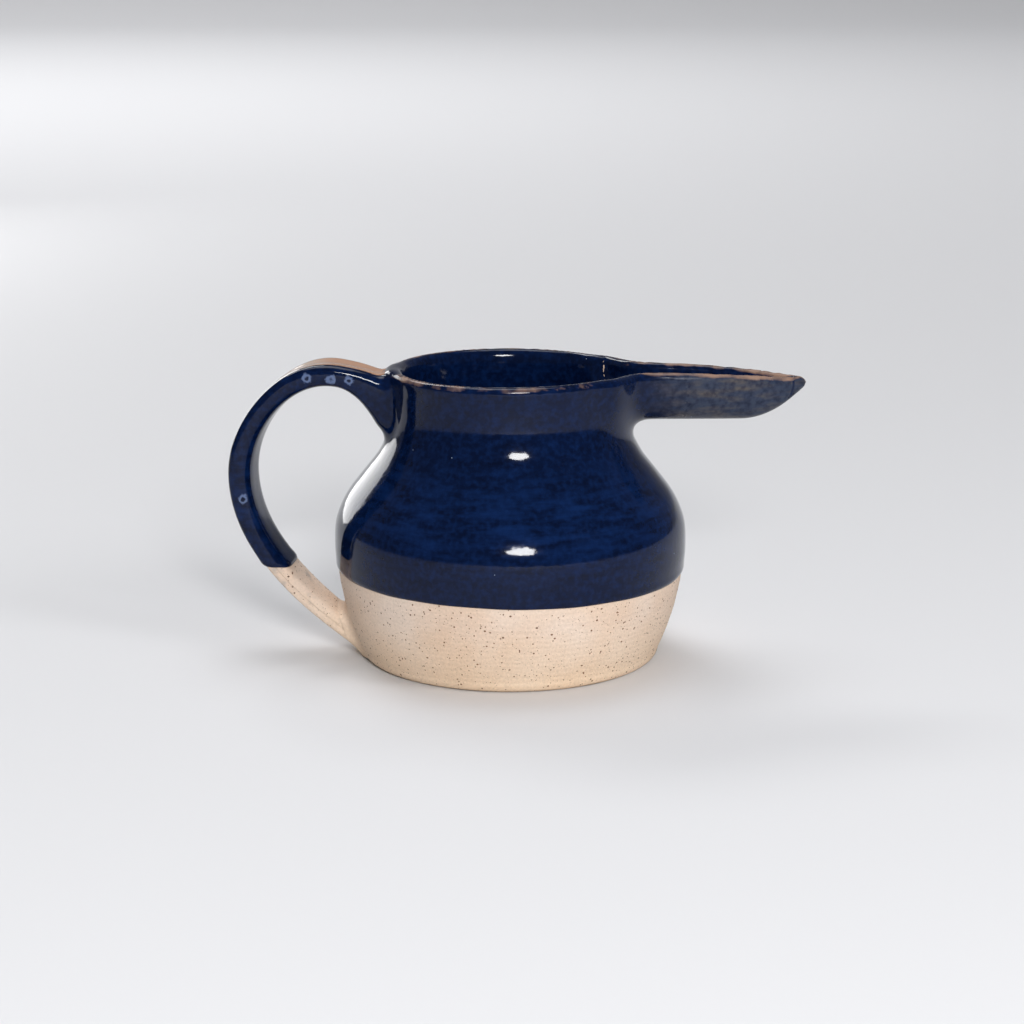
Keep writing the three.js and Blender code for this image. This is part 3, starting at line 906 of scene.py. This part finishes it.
def strapTree():
    sizes = ("Width", "Thickness", "Root Thickness", "Root Start", "Root Fade", "Groove", "Groove Width")
    inputs = {name: "Float" for name in sizes} | {"Squareness": "Float", "Around": "Int", "Along": "Int"}
    tree, given = newTree("pulledStrap", inputs | {"Material": "Material"})
    line = addNode(tree, "GeometryNodeMeshToCurve", Mesh=given["Geometry"])
    spot = addNode(tree, "ShaderNodeSeparateXYZ", Vector=addNode(tree, "GeometryNodeInputPosition")).outputs
    known = {name: given[name] for name in inputs}
    known["length"] = addNode(tree, "GeometryNodeCurveLength", Curve=line).outputs[0]
    known["u"], known["v"] = spot[0], spot[1]

    # each step is its name, an operation, and what it works on: a number, or the name of a size or a step
    steps = (
        ("columns", "ADD", "Around", 1.0),
        ("share", "ADD", "v", 0.5),
        ("angle", "MULTIPLY", "u", 2 * math.pi),
        # the section: a rounded oblong, from an ellipse's waves raised to a power
        ("power", "DIVIDE", 2.0, "Squareness"),
        ("cosine", "COSINE", "angle"),
        ("cosineSign", "SIGN", "cosine"),
        ("cosineSize", "ABSOLUTE", "cosine"),
        ("cosineRaised", "POWER", "cosineSize", "power"),
        ("sideShare", "MULTIPLY", "cosineSign", "cosineRaised"),
        ("sine", "SINE", "angle"),
        ("sineSign", "SIGN", "sine"),
        ("sineSize", "ABSOLUTE", "sine"),
        ("sineRaised", "POWER", "sineSize", "power"),
        ("outShare", "MULTIPLY", "sineSign", "sineRaised"),
        # half its thickness, which swells towards the root
        ("run", "MULTIPLY", "share", "length"),
        ("pastRoot", "SUBTRACT", "run", "Root Start"),
        ("passed", "DIVIDE", "pastRoot", "Root Fade"),
        ("left", "SUBTRACT", 1.0, "passed"),
        ("atLeast", "MAXIMUM", "left", 0.0),
        ("atMost", "MINIMUM", "atLeast", 1.0),
        ("nearRoot", "POWER", "atMost", 1.5),
        ("extra", "SUBTRACT", "Root Thickness", "Thickness"),
        ("swelling", "MULTIPLY", "nearRoot", "extra"),
        ("depth", "ADD", "Thickness", "swelling"),
        ("half", "MULTIPLY", "depth", 0.5),
        ("halfWidth", "MULTIPLY", "Width", 0.5),
        ("side", "MULTIPLY", "sideShare", "halfWidth"),
        # the finger groove, down the outer face only
        ("sideInGroove", "DIVIDE", "side", "Groove Width"),
        ("squared", "POWER", "sideInGroove", 2.0),
        ("lessened", "MULTIPLY", "squared", -1.0),
        ("inGroove", "EXPONENT", "lessened"),
        ("grooved", "MULTIPLY", "inGroove", "Groove"),
        ("outer", "GREATER_THAN", "outShare", 0.0),
        ("cut", "MULTIPLY", "outer", "grooved"),
        ("face", "MULTIPLY", "outShare", "half"),
        ("out", "SUBTRACT", "face", "cut"),
        # both ends draw in to a point
        ("fromMiddle", "ABSOLUTE", "v"),
        ("open", "LESS_THAN", "fromMiddle", 0.4999),
        ("lift", "MULTIPLY", "out", "open"),
        ("sideways", "MULTIPLY", "side", "open"),
    )
    for name, operation, *values in steps:
        fed = {f"i{k}": known.get(value, value) for k, value in enumerate(values)}
        known[name] = addNode(tree, "ShaderNodeMath", {"operation": operation}, **fed).outputs[0]

    sheet = addNode(tree, "GeometryNodeMeshGrid", Size_X=1.0, Size_Y=1.0, Vertices_X=known["columns"],
                    Vertices_Y=given["Along"])
    sample = addNode(tree, "GeometryNodeSampleCurve", {"mode": "FACTOR", "use_all_curves": True}, Curves=line,
                     Factor=known["share"])
    away = addNode(tree, "ShaderNodeVectorMath", {"operation": "CROSS_PRODUCT"}, i0=(0, 1, 0),
                   i1=sample.outputs["Tangent"])
    lifted = addNode(tree, "ShaderNodeVectorMath", {"operation": "SCALE"}, i0=away, Scale=known["lift"])
    across = addNode(tree, "ShaderNodeCombineXYZ", Y=known["sideways"])
    offset = addNode(tree, "ShaderNodeVectorMath", {"operation": "ADD"}, i0=lifted, i1=across)
    place = addNode(tree, "ShaderNodeVectorMath", {"operation": "ADD"}, i0=sample.outputs["Position"],
                    i1=offset)
    shaped = addNode(tree, "GeometryNodeSetPosition", Geometry=sheet, Position=place)
    merged = addNode(tree, "GeometryNodeMergeByDistance", Geometry=shaped, Distance=0.004 * mm)
    endTree(tree, merged, given["Material"])
    return tree


def buildStrap():
    line = [(x, 0, z) for x, z in strapPath]
    piece = newMesh("strapHandle", line, [(i, i + 1) for i in range(len(line) - 1)], [])
    sizes = {"Width": strap["width"], "Thickness": strap["thickness"], "Root Thickness": strap["rootDepth"],
             "Root Start": strap["rootRunOn"], "Root Fade": strap["rootFade"], "Groove": strap["groove"],
             "Groove Width": strap["grooveWidth"]}
    values = {name: value * mm for name, value in sizes.items()}
    values |= {"Squareness": strap["squareness"], "Around": 72, "Along": 260, "Material": stoneware}
    grown(piece, strapTree(), values)
    tidyMesh(piece)
    heights = np.linspace(-6, vessel["rimHeight"] + 20, 120)
    plug = [(0, heights[0])] + [(outsideRadius(z) - strap["tuck"], z) for z in heights] + [(0, heights[-1])]
    untwisted = pointsOf(piece)
    setPoints(piece, untwisted + np.outer(twistShift(untwisted), (1, 0, 0)))
    cutBy(piece, turned("wallCutter", plug, 130, stoneware, 120))
    tidyMesh(piece)
    wobbled(piece)
    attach(piece, "root")
    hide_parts("strap_handle")
    return piece


strapPiece = buildStrap()
report("strap")


# the spout's clay, and the slip that is worked into each join

def buildSpout():
    def field(p):
        clayWall = np.maximum(spoutField(p), -channelField(p))
        trimmed = np.maximum(clayWall, p[:, 2] - spoutLip(p[:, 0]) + 0.7)
        onNeck = softMax(trimmed, -vesselField(p) - 1.0, 0.6)
        return onNeck + spout["underGlaze"] - handWobble(p)

    piece = netPiece("spoutTrough", field, (28, -32, 66), (98, 32, 98), 0.8, stoneware)
    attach(piece, "root")
    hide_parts("spout_trough")


lute = {
    "overlap": 1.1,  # how far the slip reaches into both pieces
    "recess": 0.12,  # how far it lies below the glaze
    "spread": 0.8,  # of the join's softness, where it thins out
    "belowLip": 0.8,
    "aboveFoot": 0.3,
}


def buildLute(name, node, second, k, low, high):
    # slip fills the corner between the vessel and a second piece of clay, and overlaps both
    def field(p):
        a, b = vesselField(p), second(p)
        corner = (np.abs(a - b) - lute["spread"] * k) / 1.5
        solid = np.maximum(np.maximum(-a, -b) - lute["overlap"], corner)
        trimmed = np.maximum(p[:, 2] - spoutLip(p[:, 0]) + lute["belowLip"], lute["aboveFoot"] - p[:, 2])
        return np.maximum(softMax(softMin(a, b, k) + lute["recess"], solid, 0.3) - handWobble(p), trimmed)

    piece = netPiece(name, field, low, high, 0.7, stoneware)
    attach(piece, "root")
    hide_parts(node)


buildSpout()
buildLute("spoutLute", "spout_lute", spoutField, joins["spout"], (22, -32, 66), (60, 32, 96))
buildLute("handleTopLute", "handle_top_lute", strapField, joins["strap"], (-56, -18, 60), (-26, 18, 98))
buildLute("handleFootLute", "handle_foot_lute", strapField, joins["strap"], (-66, -18, -3), (-40, 18, 34))
report("spout and lutes")


# the glaze: one coat over vessel, spout and strap, down to the line it was dipped to

dip = {
    "line": 28.3,
    "tilt": -0.010,  # mm up for each mm towards the spout
    "wave": 0.14,
    "edgeRows": (0.0, 0.25, 0.6, 1.2, 2.0),  # rows of faces above the line, for its rolled edge
    "roll": 0.10,  # extra thickness of the roll, its height above the line, and its width
    "rollHeight": 1.4,
    "rollWidth": 0.9,
    "drawnIn": 0.28,  # thickness lost at the very edge, and the width of that
    "drawnInWidth": 0.35,
    "shell": 0.42,  # thickness of the shell that stands for the coat
    "linerTop": 66.0,
}


def dipLine(x, y):
    turn = np.arctan2(y, x)
    waves = np.sin(2 * turn + 0.6) + 0.5 * np.sin(7 * turn + 2) + 0.3 * np.sin(17 * turn)
    return dip["line"] + dip["tilt"] * x + dip["wave"] * waves


def coatThickness(rise):
    # drawn in at the very edge, with a slight roll of thicker glaze just above it
    roll = dip["roll"] * np.exp(-(((rise - dip["rollHeight"]) / dip["rollWidth"]) ** 2))
    return glaze["thickness"] + roll - dip["drawnIn"] * np.exp(-((rise / dip["drawnInWidth"]) ** 2))


def sliceAt(shell, height, clear=False, faces=None):
    # cuts a row of edges at this height, and can clear what lies below it
    chosen = list(shell.verts) + list(shell.edges) + list(shell.faces) if faces is None else faces
    plane = {"plane_co": (0, 0, height * mm), "plane_no": (0, 0, 1)}
    bmesh.ops.bisect_plane(shell, geom=chosen, clear_inner=clear, **plane)


def buildCoat():
    field = lambda p: bodyField(p) - glaze["thickness"]
    step = 1.08
    points, faces = netSurface(field, (-91, -59, 22), (97, 59, 98), step)
    piece = newMesh("glazeOutside", points, [], faces, cobalt)
    shell = bmesh.new()
    shell.from_mesh(piece.data)
    for v in shell.verts:
        v.co.z -= dipLine(v.co.x / mm, v.co.y / mm) * mm
    for height in dip["edgeRows"]:
        sliceAt(shell, height, clear=height == 0.0)
    for v in shell.verts:
        v.co.z += dipLine(v.co.x / mm, v.co.y / mm) * mm
    lining = {}  # its faces, corners and edges, in a fixed order
    for f in shell.faces:
        middle = f.calc_center_median() / mm
        if middle.z < dip["linerTop"] + 4 and middle.xy.length < insideRadius(middle.z) + 1:
            lining.update(dict.fromkeys([f, *f.verts, *f.edges]))
    sliceAt(shell, dip["linerTop"], True, list(lining))
    shell.to_mesh(piece.data)
    shell.free()

    points = pointsOf(piece)
    rise = points[:, 2] - dipLine(points[:, 0], points[:, 1])
    low = (rise < 4) & (np.hypot(points[:, 0], points[:, 1]) > insideRadius(points[:, 2]) + 2)
    change = (coatThickness(rise) - glaze["thickness"]) * low
    slope = fieldSlope(bodyField, points)
    slope /= np.linalg.norm(slope, axis=1)[:, None]
    setPoints(piece, points + slope * change[:, None])

    # what the glaze's material reads: bulging edges, the spout's thin coat, the painted reflection along the
    # top of the arch
    bulge = np.clip((roundness(points) - 0.14) / 0.45, 0, 1)
    onSpout = np.clip((points[:, 0] - 40) / 16, 0, 1)
    outerSide = np.clip(-spoutField(points) + 1.6, 0, 1) * (channelField(points) > 1.2)
    along, out = strapCoordinates(points)
    onStrap = (strapField(points) < 2) & (vesselField(points) > 2)
    share = along / strapLengths[-1]
    arch = np.clip((share - 0.09) / 0.03, 0, 1) * np.clip((0.34 - share) / 0.05, 0, 1)
    middle = np.clip((strap["width"] * 0.40 - np.abs(points[:, 1])) / 1.4, 0, 1)
    outer = np.clip((out - strapHalfThickness(along) * 0.45) / 1.0, 0, 1)
    nearLip = np.clip((points[:, 2] - spoutLip(points[:, 0]) + 4) / 2, 0, 1)
    setAttribute(piece, "edge", bulge * nearLip * ~onStrap)
    setAttribute(piece, "thin", onSpout * outerSide)
    # the mask of the painted reflection: the middle of the strap's outer face, over the arch
    setAttribute(piece, "band", arch * middle * outer * onStrap)
    piece.data.shade_smooth()
    thick = piece.modifiers.new("thickness", "SOLIDIFY")
    thick.thickness = dip["shell"] * mm
    thick.offset = -1
    thick.use_rim = True
    applied(piece)
    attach(piece, "root")
    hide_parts("glaze_outside", "glaze_spout", "glaze_handle")


def buildLiner():
    surface = hollowCurve(glaze["thickness"], dip["linerTop"] + 1.0)
    backing = hollowCurve(0.08, dip["linerTop"] + 0.6)
    piece = turned("glazeLiner", backing + surface[::-1], 220, cobalt, 144)
    wobbled(piece)
    for name in ("edge", "thin", "band"):
        setAttribute(piece, name, np.zeros(len(piece.data.vertices)))
    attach(piece, "root")
    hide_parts("glaze_liner")


buildCoat()
report("coat")
buildLiner()
report("liner")


# iron spots scattered over the bare clay

def spotTree():
    inputs = {"Density": "Float", "Smallest": "Float", "Largest": "Float", "Seed": "Int"}
    tree, given = newTree("ironSpots", inputs | {"Material": "Material"})
    bare = addNode(tree, "GeometryNodeInputNamedAttribute", {"data_type": "FLOAT"}, Name="bare")
    density = addNode(tree, "ShaderNodeMath", multiply, i0=bare, i1=given["Density"])
    scatter = addNode(tree, "GeometryNodeDistributePointsOnFaces", Mesh=given["Geometry"], Density=density,
                      Seed=given["Seed"])
    grain = addNode(tree, "GeometryNodeMeshIcoSphere", Radius=0.5, Subdivisions=1)
    size = addNode(tree, "FunctionNodeRandomValue", {"data_type": "FLOAT"}, i2=0.0, i3=1.0, Seed=3)
    skewed = addNode(tree, "ShaderNodeMath", {"operation": "POWER"}, i0=size.outputs[1], i1=3.4)
    scale = addNode(tree, "ShaderNodeMapRange", Value=skewed, To_Min=given["Smallest"],
                    To_Max=given["Largest"])
    longer = addNode(tree, "FunctionNodeRandomValue", {"data_type": "FLOAT"}, i2=0.7, i3=1.35, Seed=5)
    length = addNode(tree, "ShaderNodeMath", multiply, i0=scale, i1=longer.outputs[1])
    flat = addNode(tree, "ShaderNodeMath", multiply, i0=scale, i1=0.22)
    shape = addNode(tree, "ShaderNodeCombineXYZ", X=length, Y=scale, Z=flat)
    placed = addNode(tree, "GeometryNodeInstanceOnPoints", Points=scatter, Instance=grain,
                     Rotation=scatter.outputs["Rotation"], Scale=shape)
    endTree(tree, placed, given["Material"])
    return tree


def buildSpots(name, clayPiece, top):
    bed = bpy.data.objects.new(name, clayPiece.data.copy())
    bpy.context.scene.collection.objects.link(bed)
    points = pointsOf(bed)
    r = np.hypot(points[:, 0], points[:, 1])
    outside = (r > outsideRadius(np.maximum(points[:, 2], 0)) - 1.5) | (points[:, 2] < 1)
    share = np.where(points[:, 2] < 1, spots["underneath"], 1)
    setAttribute(bed, "bare", outside * (points[:, 2] < top) * share)
    grown(bed, scatterSpots, {
        "Density": spots["perSquareMm"] / mm**2,
        "Smallest": spots["smallest"] * mm,
        "Largest": spots["largest"] * mm,
        "Seed": spots["seed"],
        "Material": iron,
    })
    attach(bed, "root")


scatterSpots = spotTree()
buildSpots("vesselSpots", vesselPiece, dip["line"] - 0.9)
buildSpots("strapSpots", strapPiece, dip["line"])
report("iron spots")


# camera, floor and lights

studio = {
    "lens": 90,  # on a 36 mm sensor
    "distance": 0.800,
    "pitch": 13.45,  # degrees down
    "lookHeight": 0.0449,
    "shiftX": 0.002,  # the pot stands a hair left of the middle
    "paper": 0xD6D6D8,
    "tooth": 1.5,  # mm, the size of the paper's grain
    "floorDrop": 0.05,  # mm, which keeps the floor out of the foot's own plane
    "ceiling": 4.3,  # strength overhead, its middle, and its soft edge
    "ceilingAim": (-0.05, 0.22, 0.97),
    "ceilingEdge": (0.91, 0.98),
    "room": 0.10,  # strength of the room on the camera's side and behind
    "roomBehind": 0.16,
}
lights = {
    # azimuth 0 is the camera's side and 90 is the spout's side; metres and watts
    "frontSoftbox": {"azimuth": 7.5, "elevation": 24, "distance": 1.5, "size": (0.46, 0.29), "watts": 17},
    "sideKey": {"azimuth": 55, "elevation": 32, "distance": 1.6, "size": (0.5, 0.5), "watts": 6},
    "leftPanel": {"azimuth": -147, "elevation": 10, "distance": 1.25, "size": (0.78, 0.58), "watts": 4.6},
    "backWash": {"azimuth": 0, "elevation": 75, "distance": 2.2, "size": (1.6, 1.6), "watts": 48,
                 "target": (-1.1, 2.7, 0)},
}


def buildBackdrop():
    # the floor runs back and curves up into a backdrop
    width, front, back, height, bend = 5.0, 3.5, 4.0, 3.2, 1.6
    profile = [(-front, 0.0)]
    for a in np.linspace(0, math.pi / 2, 24):
        profile.append((back + bend * math.sin(a), bend * (1 - math.cos(a))))
    profile.append((back + bend, height))
    drop = studio["floorDrop"]
    points = [(x / mm, y / mm, z / mm - drop) for y, z in profile for x in (-width, width)]
    faces = [(2 * i, 2 * i + 1, 2 * i + 3, 2 * i + 2) for i in range(len(profile) - 1)]
    material, tree = newMaterial("seamlessPaper")  # matt card: even, with a faint tooth
    place = addNode(tree, "ShaderNodeTexCoord").outputs["Object"]
    tooth = addNode(tree, "ShaderNodeTexNoise", Vector=place, Scale=perMm(studio["tooth"]), Detail=2.0)
    bump = addNode(tree, "ShaderNodeBump", Strength=0.1, Distance=0.1 * mm, Height=tooth)
    shader = addNode(tree, "ShaderNodeBsdfPrincipled", Base_Color=toLinear(studio["paper"]), Roughness=0.8,
                     Normal=bump)
    addNode(tree, "ShaderNodeOutputMaterial", Surface=shader)
    sweep = newMesh("backdrop", points, [], faces, material)
    sweep.data.shade_smooth()


def buildSky():
    # a broad soft ceiling and a dim room: the camera's side stays dark, so that the glaze reads deep
    world = bpy.data.worlds.new("studioRoom")
    world.use_nodes = True
    tree = world.node_tree
    tree.nodes.clear()
    aim = addNode(tree, "ShaderNodeTexCoord").outputs["Generated"]
    parts = addNode(tree, "ShaderNodeSeparateXYZ", Vector=aim)
    overhead = addNode(tree, "ShaderNodeVectorMath", {"operation": "DOT_PRODUCT"}, i0=aim,
                       i1=studio["ceilingAim"])
    outer, inner = studio["ceilingEdge"]
    ceiling = addNode(tree, "ShaderNodeMapRange", Value=overhead.outputs["Value"], From_Min=outer,
                      From_Max=inner, To_Max=studio["ceiling"])
    behind = addNode(tree, "ShaderNodeMapRange", Value=parts.outputs[1], From_Min=0.1, From_Max=0.9,
                     To_Min=studio["room"], To_Max=studio["roomBehind"])
    strength = addNode(tree, "ShaderNodeMath", {"operation": "ADD"}, i0=ceiling, i1=behind)
    glow = addNode(tree, "ShaderNodeBackground", Color=(0.97, 0.98, 1.0, 1), Strength=strength)
    addNode(tree, "ShaderNodeOutputWorld", Surface=glow)
    bpy.context.scene.world = world


def areaLight(name, azimuth, elevation, distance, size, watts, target=(0, 0, 0.05)):
    az, el = math.radians(azimuth), math.radians(elevation)
    offset = Vector((math.sin(az) * math.cos(el), -math.cos(az) * math.cos(el), math.sin(el))) * distance
    light = bpy.data.lights.new(name, "AREA")
    light.shape = "ELLIPSE"
    light.size, light.size_y = size
    light.energy = watts
    lamp = bpy.data.objects.new(name, light)
    lamp.location = Vector(target) + offset
    lamp.rotation_euler = (-offset).to_track_quat("-Z", "Y").to_euler()
    lamp.visible_camera = False
    bpy.context.scene.collection.objects.link(lamp)
    return lamp


def buildCamera():
    pitch = math.radians(studio["pitch"])
    camera = bpy.data.objects.new("camera", bpy.data.cameras.new("camera"))
    camera.data.lens = studio["lens"]
    camera.data.sensor_width = 36
    camera.data.shift_x = studio["shiftX"]
    reach = studio["distance"]
    camera.location = (0, -reach * math.cos(pitch), studio["lookHeight"] + reach * math.sin(pitch))
    camera.rotation_euler = (math.pi / 2 - pitch, 0, 0)
    bpy.context.scene.collection.objects.link(camera)
    bpy.context.scene.camera = camera
    bpy.context.scene.view_settings.view_transform = "Standard"


buildCamera()
buildBackdrop()
buildSky()
lamps = {name: areaLight(name, **settings) for name, settings in lights.items()}
lamps["sideKey"].visible_glossy = False  # it only deepens the shadow behind the handle
lamps["leftPanel"].visible_diffuse = False  # it only shows as the pale strip in the glaze
report("studio")
